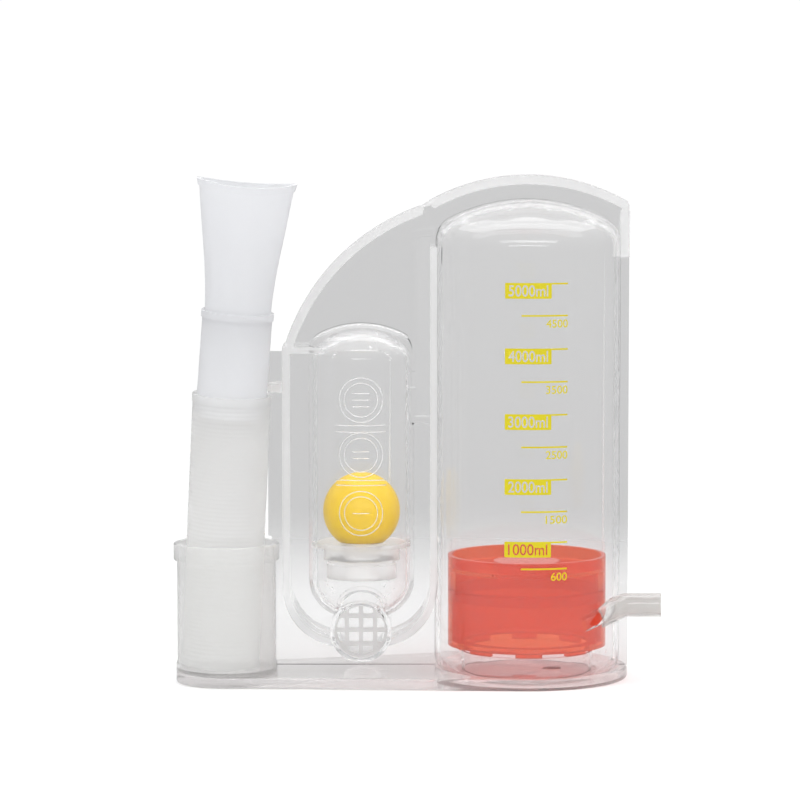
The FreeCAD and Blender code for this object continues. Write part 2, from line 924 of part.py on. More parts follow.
def make_hose_cup():
    bore = "cup_outer - cup_wall"
    body = turned(
        "hose_cup",
        [
            ("0", "base_height"),
            ("foot_outer", "base_height"),
            ("foot_outer", "base_height + foot_height"),
            ("cup_outer", "base_height + foot_height"),
            ("cup_outer", "cup_top - collar_height"),
            ("collar_outer", "cup_top - collar_height"),
            ("collar_outer", "cup_top"),
            (bore, "cup_top"),
            (bore, "base_height + cup_floor"),
            ("0", "base_height + cup_floor"),
        ],
        "cup_x", "cup_y",
    )
    edges = [ring_edge("collar_outer", height) for height in ("cup_top", "cup_top - collar_height")]
    round_edges(
        body, "cup_collar_rounding", "collar_round", lambda edge: any(test(edge) for test in edges)
    )
    return body


# Stands a piece on a line that leans to the right and towards the front. The hose's own line
# starts at its bottom, and the upper line starts at the middle of the hose's top end.
def stand(thing, upper):
    kind = "upper" if upper else "hose"
    right, forward = f"{kind}_right", f"{kind}_forward"
    turn = FreeCAD.Rotation(Y_AXIS, value(right)).multiply(FreeCAD.Rotation(X_AXIS, value(forward)))
    thing.Placement = FreeCAD.Placement(FreeCAD.Vector(), turn)
    base = ["stack_x", "stack_y", "stack_height"]
    if upper:
        base[0] += " + hose_length*cos(hose_forward)*sin(hose_right)"
        base[1] += " - hose_length*sin(hose_forward)"
        base[2] += " + hose_length*cos(hose_forward)*cos(hose_right)"
    return place(thing, *base)


def stood(label, corners, upper=False):
    return stand(turned(label, corners), upper)


# Corrugated hose: one ring, repeated up the length between the smooth cuffs
def make_hose():
    body = stood(
        "hose",
        [
            ("hose_bore", "cuff_height"),
            ("hose_groove", "cuff_height"),
            ("hose_outer", "cuff_height + ring_pitch/2"),
            ("hose_groove", "cuff_height + ring_pitch"),
            ("hose_bore", "cuff_height + ring_pitch"),
        ],
    )
    first = body.Tip
    stack = feature(body, "LinearPattern", "hose_rings", Occurrences="ring_count")
    stack.Originals = [first]
    stack.Direction = (first.Profile[0], ["V_Axis"])
    bind(stack, Length="ring_count*ring_pitch - ring_pitch")
    body.Tip = stack
    return body


def make_cuff(label, bottom):
    return stood(
        label,
        [
            ("hose_bore", bottom),
            ("hose_outer + cuff_lip", bottom),
            ("hose_outer + cuff_lip", f"{bottom} + cuff_height"),
            ("hose_bore", f"{bottom} + cuff_height"),
        ],
    )


def make_connector():
    return stood(
        "connector",
        [
            ("connector_bore", "0 - connector_depth"),
            ("connector_radius", "0 - connector_depth"),
            ("connector_radius", "connector_top"),
            ("connector_bore", "connector_top"),
        ],
        upper=True,
    )


def make_connector_collar():
    return stood(
        "connector_collar",
        [
            ("connector_radius", "connector_top - collar_ring_height"),
            ("collar_ring_outer", "connector_top - collar_ring_height"),
            ("collar_ring_outer", "connector_top"),
            ("connector_radius", "connector_top"),
        ],
        upper=True,
    )


# Ovals of the mouthpiece, in the upper line's own frame before the whole piece is stood on it
def oval(name, wide, deep, height):
    made = bind(doc.addObject("Part::Ellipse", name), MajorRadius=wide, MinorRadius=deep)
    return place(made, z=height)


def loft(name, sections, inset="0", ruled=False):
    made = doc.addObject("Part::Loft", name)
    made.Sections = [
        oval(f"{name}_{index}", f"{wide} - {inset}", f"{deep} - {inset}", height)
        for index, (wide, deep, height) in enumerate(sections)
    ]
    made.Solid, made.Ruled = True, ruled
    return made


def make_mouthpiece():
    sections = [
        ("neck_outer", "neck_outer", "connector_top"),
        ("mouth_low_wide", "mouth_low_deep", "mouth_low"),
        ("mouth_mid_wide", "mouth_mid_deep", "mouth_mid"),
        ("mouth_high_wide", "mouth_high_deep", "mouth_high"),
    ]
    lip_sections = [
        ("lip_low_wide", "lip_low_deep", "lip_top - lip_height"),
        ("lip_high_wide", "lip_high_deep", "mouth_high"),
    ]
    saddle_axis = "lip_top + saddle_radius"
    saddle = cylinder(
        "saddle", "saddle_radius", "4*lip_high_deep", "0", "2*lip_high_deep", saddle_axis, turn=ALONG_Y
    )
    under_lip = cylinder(
        "under_lip", "saddle_radius + lip_height", "4*lip_high_deep", "0", "2*lip_high_deep",
        saddle_axis, turn=ALONG_Y,
    )
    lip = combine("MultiCommon", "lip", [loft("lip_flare", lip_sections, ruled=True), under_lip])
    spigot = cylinder(
        "mouth_spigot", "neck_spigot", "neck_depth", "0", "0", "connector_top - neck_depth"
    )
    spigot_bore = cylinder(
        "mouth_spigot_bore", "neck_outer - mouth_wall", "neck_depth", "0", "0",
        "connector_top - neck_depth",
    )
    filled = combine("MultiFuse", "mouth_filled", [spigot, loft("mouth_form", sections), lip])
    hollow = combine(
        "MultiFuse", "mouth_hollow", [spigot_bore, loft("mouth_cavity", sections, "mouth_wall"), saddle]
    )
    return stand(cut("mouthpiece", filled, hollow), upper=True)


# Clip: a tongue on the tray wall, hollowed to the curve of the hose
def make_hose_clip():
    root = "tray_x - tray_half_width"
    tip = f"{root} - clip_reach"
    body = new_body("clip_form")
    sketch = new_sketch(body, "clip_outline", "XZ_Plane")
    outline(
        sketch,
        [(tip, "clip_tip_low"), (root, "clip_low"), (root, "clip_high"), (tip, "clip_tip_high")],
    )
    pad(body, "clip_pad", sketch, "clip_depth")
    place(body, y="0 - web_thickness/2")
    hollow = bind(
        doc.addObject("Part::Cylinder", "clip_hollow"), Radius="clip_inner", Height="2*hose_length"
    )
    return cut("hose_clip", body, stand(hollow, upper=False))


shells = make_shells()
SUBPARTS = shells + [
    make_outlet_nozzle(),
    make_base_plate(),
    make_inlet_grille(),
    make_piston_crown(),
    make_piston_skirt(),
    make_piston_stop(),
    make_float_ball(),
    make_ball_seat(),
    make_seat_cage(),
    make_hose_cup(),
    make_hose_clip(),
    make_hose(),
    make_cuff("hose_bottom_cuff", "0"),
    make_cuff("hose_top_cuff", "hose_length - cuff_height"),
    make_connector(),
    make_connector_collar(),
    make_mouthpiece(),
]
doc.recompute()

failed = [thing.Label for thing in doc.Objects if {"Invalid", "Error"} & set(thing.State)]
for part in SUBPARTS:
    if part.Shape.isNull() or not part.Shape.isValid() or len(part.Shape.Solids) != 1:
        failed.append(part.Label)
if failed:
    raise RuntimeError("not built: " + ", ".join(failed))

os.makedirs("parts", exist_ok=True)
for part in SUBPARTS:
    part.Shape.exportStep(f"parts/{part.Label}.step")
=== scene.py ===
import math
import bmesh
import bpy
from mathutils import Euler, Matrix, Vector


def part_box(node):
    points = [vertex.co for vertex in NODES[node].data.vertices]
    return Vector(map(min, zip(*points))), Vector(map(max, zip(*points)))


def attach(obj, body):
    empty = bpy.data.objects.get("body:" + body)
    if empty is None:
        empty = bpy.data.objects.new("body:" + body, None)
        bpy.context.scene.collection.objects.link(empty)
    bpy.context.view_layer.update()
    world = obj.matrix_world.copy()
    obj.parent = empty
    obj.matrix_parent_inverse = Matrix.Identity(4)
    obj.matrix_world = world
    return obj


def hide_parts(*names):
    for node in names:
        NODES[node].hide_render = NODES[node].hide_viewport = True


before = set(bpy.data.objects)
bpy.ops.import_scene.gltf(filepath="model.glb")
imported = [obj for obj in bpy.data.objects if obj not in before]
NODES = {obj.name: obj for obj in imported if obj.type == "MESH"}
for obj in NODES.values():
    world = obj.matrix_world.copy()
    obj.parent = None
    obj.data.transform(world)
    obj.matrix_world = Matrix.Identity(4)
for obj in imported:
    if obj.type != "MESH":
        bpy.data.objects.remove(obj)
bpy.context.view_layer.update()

# Incentive spirometer, in metres. The front of the object faces -Y and +Z is up.
MM = 0.001


def middle(name):
    low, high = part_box(name)
    return (low + high) / 2


# Axes of the volume chamber and the flow tube, read from the piston skirt and the float ball, and
# their outside radii
CHAMBER = middle("piston_skirt").xy
CHAMBER_RADIUS = 51.0 * MM
FLOW = middle("float_ball").xy
FLOW_RADIUS = 29.0 * MM

# The photograph's view: where the camera stands and how long its lens is
CAMERA_PLACE = Vector((-1.4, -2092.8, 338.7)) * MM
CAMERA_TILT = math.radians(84.93)
CAMERA_LENS = 171.9
SENSOR = 36.0


def make_camera():
    data = bpy.data.cameras.new("camera")
    data.lens = CAMERA_LENS
    data.sensor_width = SENSOR
    camera = bpy.data.objects.new("camera", data)
    camera.location = CAMERA_PLACE
    camera.rotation_euler = Euler((CAMERA_TILT, 0, 0))
    bpy.context.scene.collection.objects.link(camera)
    bpy.context.scene.camera = camera


# Shader helpers
def node(tree, kind, **inputs):
    made = tree.nodes.new(f"ShaderNode{kind}")
    for name, setting in inputs.items():
        made.inputs[name.replace("_", " ")].default_value = setting
    return made


def join(tree, source, target):
    tree.links.new(source, target)


def new_material(name):
    material = bpy.data.materials.new(name)
    material.use_nodes = True
    tree = material.node_tree
    tree.nodes.clear()
    return material, tree, tree.nodes.new("ShaderNodeOutputMaterial")


def object_noise(tree, scale, detail=3.0):
    place = tree.nodes.new("ShaderNodeTexCoord")
    noise = node(tree, "TexNoise", Scale=scale, Detail=detail)
    join(tree, place.outputs["Object"], noise.inputs["Vector"])
    return noise.outputs["Fac"]


def vary(tree, source, low, high):
    made = node(tree, "MapRange")
    made.inputs["To Min"].default_value = low
    made.inputs["To Max"].default_value = high
    join(tree, source, made.inputs["Value"])
    return made.outputs["Result"]


def bump(tree, source, target, strength, distance):
    made = node(tree, "Bump", Strength=strength, Distance=distance)
    join(tree, source, made.inputs["Height"])
    join(tree, made.outputs["Normal"], target.inputs["Normal"])


# Surface of the see-through plastic, whose roughness differs a little from place to place
COAT_ROUGHNESS = 0.06
WAVE_SCALE = 30.0
WAVE_HEIGHT = 1.0 * MM
UNEVENNESS = 0.3
LIGHT_SHADE = (0.9, 0.9, 0.9)


# Clear or translucent plastic. Rays from lamps pass straight through it, dimmed by its shade.
def see_through(name, colour, clearness, roughness, ior, gloss=0.0, wave=0.0, shade=LIGHT_SHADE):
    material, tree, output = new_material(name)
    plastic = node(tree, "BsdfPrincipled")
    plastic.inputs["Base Color"].default_value = (*colour, 1)
    plastic.inputs["Transmission Weight"].default_value = clearness
    plastic.inputs["IOR"].default_value = ior
    plastic.inputs["Coat Weight"].default_value = gloss
    plastic.inputs["Coat Roughness"].default_value = COAT_ROUGHNESS
    noise = object_noise(tree, WAVE_SCALE)
    uneven = vary(tree, noise, roughness * (1 - UNEVENNESS), roughness * (1 + UNEVENNESS))
    join(tree, uneven, plastic.inputs["Roughness"])
    if wave:
        bump(tree, noise, plastic, wave, WAVE_HEIGHT)
    path = tree.nodes.new("ShaderNodeLightPath")
    through = node(tree, "BsdfTransparent", Color=(*shade, 1))
    mixed = tree.nodes.new("ShaderNodeMixShader")
    join(tree, path.outputs["Is Shadow Ray"], mixed.inputs["Fac"])
    join(tree, plastic.outputs["BSDF"], mixed.inputs[1])
    join(tree, through.outputs["BSDF"], mixed.inputs[2])
    join(tree, mixed.outputs["Shader"], output.inputs["Surface"])
    return material


# Surface of the moulded plastic, and how light enters it
SHINE = 0.25
GLOW_DEPTH = 2.5 * MM
GLOW_EVENNESS = 0.2
TONE_SCALE = 22.0
GRAIN_SCALE = 900.0
GRAIN_STRENGTH = 0.08
GRAIN_HEIGHT = 0.05 * MM


# Opaque moulded plastic or ink, which light may enter a little
def moulded(name, colour, dark, roughness, depth):
    material, tree, output = new_material(name)
    plastic = node(tree, "BsdfPrincipled", Roughness=roughness)
    plastic.inputs["Specular IOR Level"].default_value = SHINE
    plastic.inputs["Subsurface Weight"].default_value = depth
    plastic.inputs["Subsurface Radius"].default_value = tuple(GLOW_EVENNESS + part for part in colour)
    plastic.inputs["Subsurface Scale"].default_value = GLOW_DEPTH
    tone = tree.nodes.new("ShaderNodeMix")
    tone.data_type = "RGBA"
    tone.inputs["A"].default_value = (*dark, 1)
    tone.inputs["B"].default_value = (*colour, 1)
    join(tree, object_noise(tree, TONE_SCALE), tone.inputs["Factor"])
    join(tree, tone.outputs["Result"], plastic.inputs["Base Color"])
    bump(tree, object_noise(tree, GRAIN_SCALE, 2.0), plastic, GRAIN_STRENGTH, GRAIN_HEIGHT)
    join(tree, plastic.outputs["BSDF"], output.inputs["Surface"])
    return material


# Shades that the plastics cast
HALF_SHADE = (0.7, 0.7, 0.7)
DEEP_SHADE = (0.5, 0.5, 0.5)
RED_SHADE = (0.95, 0.26, 0.20)


# For see-through plastic: colour, clearness, roughness and index of refraction. For moulded
# plastic and ink: colour, darker colour, roughness and the share of light that enters.
def make_materials():
    return {
        "clear": see_through("clear_plastic", (0.985, 0.985, 0.985), 0.985, 0.02, 1.1, gloss=0.6),
        # Milkier plastic for the housing's rims and tray fronts, a painted highlight on those edges
        "edges": see_through("edge_highlight_plastic", (0.94, 0.94, 0.94), 0.72, 0.2, 1.12, gloss=0.4),
        "base": see_through("base_plastic", (0.92, 0.90, 0.895), 0.86, 0.15, 1.12, gloss=0.8),
        "cup": see_through("cup_plastic", (0.85, 0.85, 0.845), 0.8, 0.2, 1.1, gloss=0.3),
        "milky": see_through(
            "milky_plastic", (0.95, 0.945, 0.94), 0.8, 0.5, 1.08, gloss=0.1, shade=HALF_SHADE,
        ),
        "nozzle": see_through(
            "nozzle_plastic", (0.76, 0.75, 0.735), 0.85, 0.12, 1.15, gloss=0.4, shade=HALF_SHADE,
        ),
        "bars": see_through("bars_plastic", (0.70, 0.695, 0.69), 0.25, 0.4, 1.3, shade=HALF_SHADE),
        "marks": see_through("marks_plastic", (0.93, 0.93, 0.93), 0.7, 0.2, 1.3, shade=HALF_SHADE),
        "frosted": see_through(
            "frosted_plastic", (0.87, 0.875, 0.89), 0.5, 0.4, 1.3, wave=0.02, shade=DEEP_SHADE,
        ),
        "hose": see_through("hose_plastic", (0.87, 0.87, 0.865), 0.82, 0.5, 1.06, shade=HALF_SHADE),
        "red": see_through(
            "red_plastic", (0.80, 0.15, 0.055), 0.82, 0.06, 1.1, gloss=0.15, shade=RED_SHADE,
        ),
        "yellow": moulded("yellow_plastic", (0.80, 0.53, 0.001), (0.77, 0.50, 0.001), 0.4, 0.1),
        "print": moulded("print_ink", (0.66, 0.57, 0.012), (0.62, 0.53, 0.010), 0.5, 0.0),
    }


MATERIALS = make_materials()


def dress(thing, material):
    thing.data.materials.clear()
    thing.data.materials.append(material)


def smooth(mesh, angle):
    mesh.shade_smooth()
    mesh.set_sharp_from_angle(angle=math.radians(angle))


def new_piece(name, mesh, material, body):
    piece = bpy.data.objects.new(name, mesh)
    bpy.context.scene.collection.objects.link(piece)
    mesh.materials.append(MATERIALS[material])
    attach(piece, body)
    return piece


# The two shells of the clear housing: what counts as lying in their weld, and how near two
# points are to be one. Their shading normals are kept as an attribute while they are joined.
SEAM = 0.01 * MM
WELD = 0.004 * MM
KEPT_NORMAL = "kept_normal"

# Faces on these rims and fronts take the milkier plastic that paints a highlight on them
# The housing's raised rims, as (centre x, centre height, outer radius, from x, to x), in
# millimetres as in the CAD, with the lowest place of a rim, the side rim and the tray's fronts
RIMS = ((49.3, 146.8, 119.9, -70.0, 10.6), (68.6, 165.6, 111.2, 10.6, 124.3))
RIM_WIDTH = 5.1
RIM_LOW = 180.0
SIDE_RIM = (119.1, 231.9)
TRAY_FRONT = (18.9, 19.1)


def on_an_edge(place):
    x, y, z = place / MM
    for centre_x, centre_z, radius, left, right in RIMS:
        reach = math.hypot(x - centre_x, z - centre_z)
        if left <= x <= right and z > RIM_LOW and reach > radius - RIM_WIDTH:
            return True
    on_side = x > SIDE_RIM[0] and z > SIDE_RIM[1]
    on_tray = TRAY_FRONT[0] < abs(y) < TRAY_FRONT[1]
    return on_side or on_tray


# A copy of a node's mesh whose shading normals are kept as an attribute
def mesh_with_normals(name):
    mesh = NODES[name].data.copy()
    kept = mesh.attributes.new(KEPT_NORMAL, "FLOAT_VECTOR", "CORNER")
    normals = [part for corner in mesh.corner_normals for part in corner.vector]
    kept.data.foreach_set("vector", normals)
    return mesh


# Clear housing: the two welded shells as one skin, so that light doesn't break at the weld.
# Its rims and the tray's fronts are milkier than its walls, a painted highlight: the light that these
# rounded edges catch is put into their plastic as a paler, rougher finish.
def make_clear_housing():
    skin = bmesh.new()
    for name in ("front_shell", "rear_shell"):
        skin.from_mesh(mesh_with_normals(name))
    weld = [face for face in skin.faces if all(abs(vert.co.y) < SEAM for vert in face.verts)]
    bmesh.ops.delete(skin, geom=weld, context="FACES")
    bmesh.ops.remove_doubles(skin, verts=skin.verts, dist=WELD)
    mesh = bpy.data.meshes.new("clear_housing")
    skin.to_mesh(mesh)
    skin.free()
    kept = mesh.attributes[KEPT_NORMAL]
    normals = [tuple(corner.vector) for corner in kept.data]
    mesh.attributes.remove(kept)
    mesh.shade_smooth()
    mesh.normals_split_custom_set(normals)
    piece = new_piece("clear_housing", mesh, "clear", "housing")
    # Faces on the rims and the tray's fronts take the milkier plastic, a painted highlight
    mesh.materials.append(MATERIALS["edges"])
    for face in mesh.polygons:
        if on_an_edge(face.center):
            face.material_index = 1
    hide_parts("front_shell", "rear_shell")


# The collapsed hose: fine shallow rings on the line between its two cuffs
HOSE_RADIUS = 21.3 * MM
HOSE_BORE = 19.8 * MM
RING_DEPTH = 0.12 * MM
RING_PITCH = 2.3 * MM
RING_STEPS = 6
HOSE_SIDES = 72
HOSE_SHARP = 50


def make_hose():
    foot, head = middle("hose_bottom_cuff"), middle("hose_top_cuff")
    axis = (head - foot).normalized()
    across = axis.orthogonal().normalized()
    beyond = axis.cross(across)
    tilt_reach = HOSE_RADIUS * math.hypot(axis.x, axis.y)
    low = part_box("hose_bottom_cuff")[1].z - tilt_reach
    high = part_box("hose_top_cuff")[0].z + tilt_reach
    start = (low - foot.z) / axis.z
    length = (high - foot.z) / axis.z - start
    count = round(length / RING_PITCH) * RING_STEPS
    profile = []
    for index in range(count + 1):
        groove = RING_DEPTH * (1 - math.cos(math.tau * index / RING_STEPS)) / 2
        profile.append((start + length * index / count, HOSE_RADIUS - groove))
    profile += [(start + length, HOSE_BORE), (start, HOSE_BORE)]
    skin = bmesh.new()
    rings = []
    for along, radius in profile:
        ring = []
        for side in range(HOSE_SIDES):
            angle = math.tau * side / HOSE_SIDES
            out = across * math.cos(angle) + beyond * math.sin(angle)
            ring.append(skin.verts.new(foot + axis * along + out * radius))
        rings.append(ring)
    for one, other in zip(rings, rings[1:] + rings[:1]):
        for side in range(HOSE_SIDES):
            nearby = (side + 1) % HOSE_SIDES
            skin.faces.new((one[side], one[nearby], other[nearby], other[side]))
    bmesh.ops.recalc_face_normals(skin, faces=skin.faces)
    mesh = bpy.data.meshes.new("hose_rings")
    skin.to_mesh(mesh)
    skin.free()
    smooth(mesh, HOSE_SHARP)
    piece = new_piece("hose_rings", mesh, "hose", "stored_hose")
    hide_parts("hose")


# A flat drawing, in metres along and up, wrapped on the front of an upright cylinder
def wrap(mesh, centre, radius, lift):
    for vertex in mesh.vertices:
        along, up, out = vertex.co
        angle = along / radius
        reach = radius + lift + out
        x = centre.x + reach * math.sin(angle)
        y = centre.y - reach * math.cos(angle)
        vertex.co = (x, y, up)


# The printed scale: a filled plate with clear digits at each thousand, and a line with small
# digits between two plates. Marks stand at heights in millimetres. A plate's margins are shares
# of its lettering's size. Its rounding and the letters' boldness are in the font's units.
SCALE_LEFT = -13.9 * MM
SCALE_RIGHT = 20.6 * MM
SMALL_LEFT = -4.9 * MM
MAIN_MARKS = {5000: 220.4, 4000: 185.2, 3000: 149.8, 2000: 114.7, 1000: 80.8}
MINOR_MARKS = {4500: 203.2, 3500: 167.6, 2500: 132.4, 1500: 97.4, 600: 66.4}
LINE = 0.9 * MM
SMALL_SIZE = Vector((3.05, 4.4)) * MM
SMALL_DROP = 6.9 * MM
BOLD = 0.008
PLATE_SIZE = Vector((25.3, 8.5)) * MM
PLATE_MARGIN = (0.10, 0.23)
PLATE_ROUNDING = 0.07
CORNER_STEPS = 4
HOLE_BOLD = -0.01
PRINT_LIFT = 0.06 * MM
BEND_STEP = 1.0 * MM
BEND_CUTS = (-20, 24)


def in_scene(curve):
    thing = bpy.data.objects.new("letters", curve)
    bpy.context.scene.collection.objects.link(thing)
    bpy.context.view_layer.update()
    return thing, bpy.context.evaluated_depsgraph_get()


# A font's splines are filled letter by letter, so they are copied to a plain curve
def letter_curve(body, offset):
    font = bpy.data.curves.new("letters", "FONT")
    font.body = body
    thing, graph = in_scene(font)
    plain = bpy.data.curves.new("letters", "CURVE")
    plain.dimensions = "2D"
    plain.fill_mode = "BOTH"
    plain.offset = offset
    for source in thing.to_curve(graph).splines:
        spline = plain.splines.new("BEZIER")
        spline.bezier_points.add(len(source.bezier_points) - 1)
        spline.use_cyclic_u = True
        for point, other in zip(spline.bezier_points, source.bezier_points):
            point.handle_left_type = point.handle_right_type = "FREE"
            point.co = other.co
            point.handle_left = other.handle_left
            point.handle_right = other.handle_right
    thing.to_curve_clear()
    bpy.data.objects.remove(thing)
    return plain


def flat_box(places):
    low = [min(place[axis] for place in places) for axis in range(2)]
    high = [max(place[axis] for place in places) for axis in range(2)]
    return low, high


# The rounded plate round a line of lettering, as one more outline of its curve
def add_frame(curve):
    low, high = flat_box([point.co for spline in curve.splines for point in spline.bezier_points])
    middle_x, middle_y = ((low[axis] + high[axis]) / 2 for axis in range(2))
    half_x, half_y = ((high[axis] - low[axis]) * (0.5 + PLATE_MARGIN[axis]) for axis in range(2))
    corners = []
    for quarter in range(4):
        for part in range(CORNER_STEPS + 1):
            angle = math.tau * (quarter + part / CORNER_STEPS) / 4
            side_x = half_x - PLATE_ROUNDING if quarter in (0, 3) else PLATE_ROUNDING - half_x
            side_y = half_y - PLATE_ROUNDING if quarter in (0, 1) else PLATE_ROUNDING - half_y
            corners.append((
                middle_x + side_x + PLATE_ROUNDING * math.cos(angle),
                middle_y + side_y + PLATE_ROUNDING * math.sin(angle),
            ))
    spline = curve.splines.new("POLY")
    spline.points.add(len(corners) - 1)
    spline.use_cyclic_u = True
    for point, corner in zip(spline.points, corners):
        point.co = (*corner, 0, 1)


# Flat lettering that fills a box. A framed one is a filled plate whose letters are left clear.
def letters(body, left, bottom, width, height, framed=False):
    curve = letter_curve(body, HOLE_BOLD if framed else BOLD)
    if framed:
        add_frame(curve)
    thing, graph = in_scene(curve)
    mesh = bpy.data.meshes.new_from_object(thing.evaluated_get(graph))
    bpy.data.objects.remove(thing)
    places = [vertex.co for vertex in mesh.vertices]
    low, high = flat_box(places)
    for place in places:
        place.x = left + width * (place.x - low[0]) / (high[0] - low[0])
        place.y = bottom + height * (place.y - low[1]) / (high[1] - low[1])
    return mesh


def make_scale():
    drawing = bmesh.new()

    def bar(left, right, low, high):
        corners = [(left, low), (right, low), (right, high), (left, high)]
        drawing.faces.new([drawing.verts.new((x, y, 0)) for x, y in corners])

    for number, height in MAIN_MARKS.items():
        top = height * MM
        plate = letters(f"{number}ml", SCALE_LEFT, top - PLATE_SIZE.y, *PLATE_SIZE, framed=True)
        drawing.from_mesh(plate)
        bar(SCALE_LEFT + PLATE_SIZE.x, SCALE_RIGHT, top - LINE, top)
    for number, height in MINOR_MARKS.items():
        top = height * MM
        bar(SMALL_LEFT, SCALE_RIGHT, top - LINE, top)
        width = SMALL_SIZE.x * len(str(number))
        left = SCALE_RIGHT - width
        drawing.from_mesh(letters(str(number), left, top - SMALL_DROP, width, SMALL_SIZE.y))
    for index in range(*BEND_CUTS):
        cut = (index * BEND_STEP, 0, 0)
        geometry = drawing.verts[:] + drawing.edges[:] + drawing.faces[:]
        bmesh.ops.bisect_plane(drawing, geom=geometry, plane_co=cut, plane_no=(1, 0, 0))
    mesh = bpy.data.meshes.new("printed_scale")
    drawing.to_mesh(mesh)
    drawing.free()
    wrap(mesh, CHAMBER, CHAMBER_RADIUS, PRINT_LIFT)
    new_piece("printed_scale", mesh, "print", "housing")


# Raised marks on the flow tube, in millimetres: rings with one to three level bars in them, and
# pairs of lines between
MARK_HEIGHTS = (155.5, 125.5, 93.6)
MARK_RINGS = (12.1, 9.2)
DIVIDERS = (141.6, 138.0, 111.7, 108.9)
DIVIDER_HALF = 14.1
BAR_HALF = 4.6
BAR_PITCH = 3.6
LINE_STEPS = 24
RING_SIDES = 72
BEAD_RADIUS = 0.27 * MM
BEAD_SIDES = 8


# A round bead along points in the drawing's plane
def bead_along(drawing, points, closed):
    rings = []
    count = len(points)
    for index, point in enumerate(points):
        before = points[index - 1] if closed or index else point
        after = points[(index + 1) % count] if closed or index < count - 1 else point
        way = (after - before).normalized()
        side = Vector((-way.y, way.x, 0))
        ring = []
        for corner in range(BEAD_SIDES):
            angle = math.tau * corner / BEAD_SIDES
            offset = side * (BEAD_RADIUS * math.cos(angle))
            rise = Vector((0, 0, BEAD_RADIUS * math.sin(angle)))
            ring.append(drawing.verts.new(point + offset + rise))
        rings.append(ring)
    for index in range(count if closed else count - 1):
        one, other = rings[index], rings[(index + 1) % count]
        for corner in range(BEAD_SIDES):
            nearby = (corner + 1) % BEAD_SIDES
            drawing.faces.new((one[corner], one[nearby], other[nearby], other[corner]))
    if not closed:
        drawing.faces.new(rings[0][::-1])
        drawing.faces.new(rings[-1])


def make_flow_marks():
    drawing = bmesh.new()

    def line(half, height):
        points = []
        for index in range(LINE_STEPS + 1):
            along = half * (2 * index / LINE_STEPS - 1)
            points.append(Vector((along, height, 0)) * MM)
        bead_along(drawing, points, closed=False)

    def ring(radius, height):
        points = []
        for index in range(RING_SIDES):
            angle = math.tau * index / RING_SIDES
            along, up = radius * math.cos(angle), height + radius * math.sin(angle)
            points.append(Vector((along, up, 0)) * MM)
        bead_along(drawing, points, closed=True)

    for level, height in zip((3, 2, 1), MARK_HEIGHTS):
        for radius in MARK_RINGS:
            ring(radius, height)
        for step in range(level):
            line(BAR_HALF, height + (step - (level - 1) / 2) * BAR_PITCH)
    for height in DIVIDERS:
        line(DIVIDER_HALF, height)
    bmesh.ops.recalc_face_normals(drawing, faces=drawing.faces)
    mesh = bpy.data.meshes.new("flow_marks")
    drawing.to_mesh(mesh)
    drawing.free()
    mesh.shade_smooth()
    wrap(mesh, FLOW, FLOW_RADIUS, 0)
    new_piece("flow_marks", mesh, "marks", "housing")


def dress_nodes():
    materials = {
        "base_plate": "base",
        "hose_cup": "cup",
        "piston_stop": "clear",
        "outlet_nozzle": "nozzle",
        "inlet_grille": "bars",
        "ball_seat": "milky",
        "seat_cage": "milky",
        "hose_clip": "milky",
        "piston_crown": "red",
        "piston_skirt": "red",
        "float_ball": "yellow",
        "hose_top_cuff": "hose",
        "hose_bottom_cuff": "hose",
        "connector": "frosted",
        "connector_collar": "frosted",
        "mouthpiece": "frosted",
    }
    for name, material in materials.items():
        dress(NODES[name], MATERIALS[material])


# Studio: white for the camera, and for other rays a grey room that is brighter higher up, as
# pairs of height (0 straight down, 1 straight up) and grey
ROOM = (
    (0.0, 0.62), (0.43, 0.58), (0.49, 0.60), (0.54, 0.60), (0.66, 0.75), (0.82, 1.0), (1.0, 1.1),
)
ROOM_BLUE = 1.005
BACKDROP = 1.02


def make_world():
    world = bpy.data.worlds.new("studio")
    bpy.context.scene.world = world
    world.use_nodes = True
    tree = world.node_tree
    tree.nodes.clear()
    place = tree.nodes.new("ShaderNodeTexCoord")
    split = tree.nodes.new("ShaderNodeSeparateXYZ")
    ramp = tree.nodes.new("ShaderNodeValToRGB")
    join(tree, place.outputs["Generated"], split.inputs["Vector"])
    level = node(tree, "MapRange")
    level.inputs["From Min"].default_value = -1
    level.inputs["From Max"].default_value = 1
    join(tree, split.outputs["Z"], level.inputs["Value"])
    join(tree, level.outputs["Result"], ramp.inputs["Fac"])
    stops = ramp.color_ramp.elements
    for index, (height, grey) in enumerate(ROOM):
        stop = stops[index] if index < len(stops) else stops.new(height)
        stop.position = height
        stop.color = (grey, grey, grey * ROOM_BLUE, 1)
    room = node(tree, "Background")
    join(tree, ramp.outputs["Color"], room.inputs["Color"])
    white = node(tree, "Background", Color=(1, 1, 1, 1), Strength=BACKDROP)
    path = tree.nodes.new("ShaderNodeLightPath")
    mixed = tree.nodes.new("ShaderNodeMixShader")
    join(tree, path.outputs["Is Camera Ray"], mixed.inputs["Fac"])
    join(tree, room.outputs["Background"], mixed.inputs[1])
    join(tree, white.outputs["Background"], mixed.inputs[2])
    output = tree.nodes.new("ShaderNodeOutputWorld")
    join(tree, mixed.outputs["Shader"], output.inputs["Surface"])


# Floor: pale to the camera, greyer as the plastic shows it, and fading out to the backdrop
FLOOR_RADIUS = 0.9
FLOOR_SIDES = 96
FLOOR_DROP = 0.2 * MM
FLOOR_FADE = (0.25, 0.85)
FLOOR_PALE = (0.93, 0.93, 0.93, 1)
FLOOR_GREY = (0.66, 0.66, 0.66, 1)


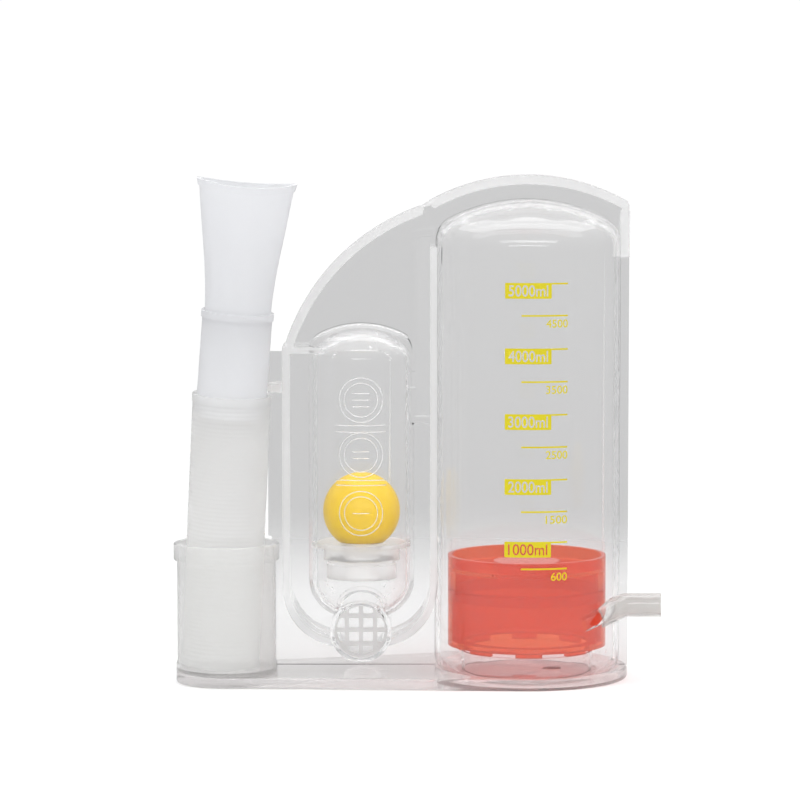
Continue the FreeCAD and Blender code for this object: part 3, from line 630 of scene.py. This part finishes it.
def make_floor():
    disc = bmesh.new()
    bmesh.ops.create_circle(disc, cap_ends=True, segments=FLOOR_SIDES, radius=FLOOR_RADIUS)
    mesh = bpy.data.meshes.new("floor")
    disc.to_mesh(mesh)
    disc.free()
    floor = bpy.data.objects.new("floor", mesh)
    floor.location.z = -FLOOR_DROP
    bpy.context.scene.collection.objects.link(floor)
    material, tree, output = new_material("floor")
    place = tree.nodes.new("ShaderNodeTexCoord")
    length = tree.nodes.new("ShaderNodeVectorMath")
    length.operation = "LENGTH"
    join(tree, place.outputs["Object"], length.inputs[0])
    fade = node(tree, "MapRange")
    fade.interpolation_type = "SMOOTHSTEP"
    fade.inputs["From Min"].default_value, fade.inputs["From Max"].default_value = FLOOR_FADE
    join(tree, length.outputs["Value"], fade.inputs["Value"])
    path = tree.nodes.new("ShaderNodeLightPath")
    pale = node(tree, "BsdfDiffuse", Color=FLOOR_PALE)
    grey = node(tree, "BsdfDiffuse", Color=FLOOR_GREY)
    seen = tree.nodes.new("ShaderNodeMixShader")
    join(tree, path.outputs["Is Camera Ray"], seen.inputs["Fac"])
    join(tree, grey.outputs["BSDF"], seen.inputs[1])
    join(tree, pale.outputs["BSDF"], seen.inputs[2])
    clear = node(tree, "BsdfTransparent")
    mixed = tree.nodes.new("ShaderNodeMixShader")
    join(tree, fade.outputs["Result"], mixed.inputs["Fac"])
    join(tree, seen.outputs["Shader"], mixed.inputs[1])
    join(tree, clear.outputs["BSDF"], mixed.inputs[2])
    join(tree, mixed.outputs["Shader"], output.inputs["Surface"])
    mesh.materials.append(material)


# Lights: place and size in metres, power in watts, all aimed at the middle of the object
AIM = Vector((0, 0, 0.13))
FRONT = Vector((0.03, -1.5, 0.72))
SIDE = Vector((1.3, -0.9, 0.7))


def soft_light(name, place, size, power):
    data = bpy.data.lights.new(name, "AREA")
    data.shape = "RECTANGLE"
    data.size, data.size_y = size
    data.energy = power
    light = bpy.data.objects.new(name, data)
    light.location = place
    light.rotation_euler = (AIM - place).to_track_quat("-Z", "Y").to_euler()
    bpy.context.scene.collection.objects.link(light)
    return light


def make_lights():
    soft_light("top_softbox", Vector((0, 0, 1.5)), (3.0, 0.6), 11)
    soft_light("front_strip", FRONT, (1.5, 0.14), 6)
    fills = (
        soft_light("left_softbox", SIDE * Vector((-1, 1, 1)), (0.5, 1.2), 3),
        soft_light("right_softbox", SIDE, (0.5, 1.2), 3),
    )
    for light in fills:
        light.visible_glossy = light.visible_transmission = False
    reflections = (
        soft_light("ceiling_shine", Vector((0, 0.25, 1.6)), (3.2, 1.4), 34),
        soft_light("front_shine", FRONT, (2.2, 0.24), 9),
    )
    for light in reflections:
        light.visible_diffuse = light.visible_transmission = False


# Plain colours, and enough bounces for rays to pass through every wall of the clear housing
def set_view():
    scene = bpy.context.scene
    scene.view_settings.view_transform = "Standard"
    scene.cycles.max_bounces = 24
    scene.cycles.transmission_bounces = 20
    scene.cycles.transparent_max_bounces = 16


make_camera()
set_view()
make_world()
make_floor()
make_lights()
dress_nodes()
make_clear_housing()
make_hose()
make_scale()
make_flow_marks()
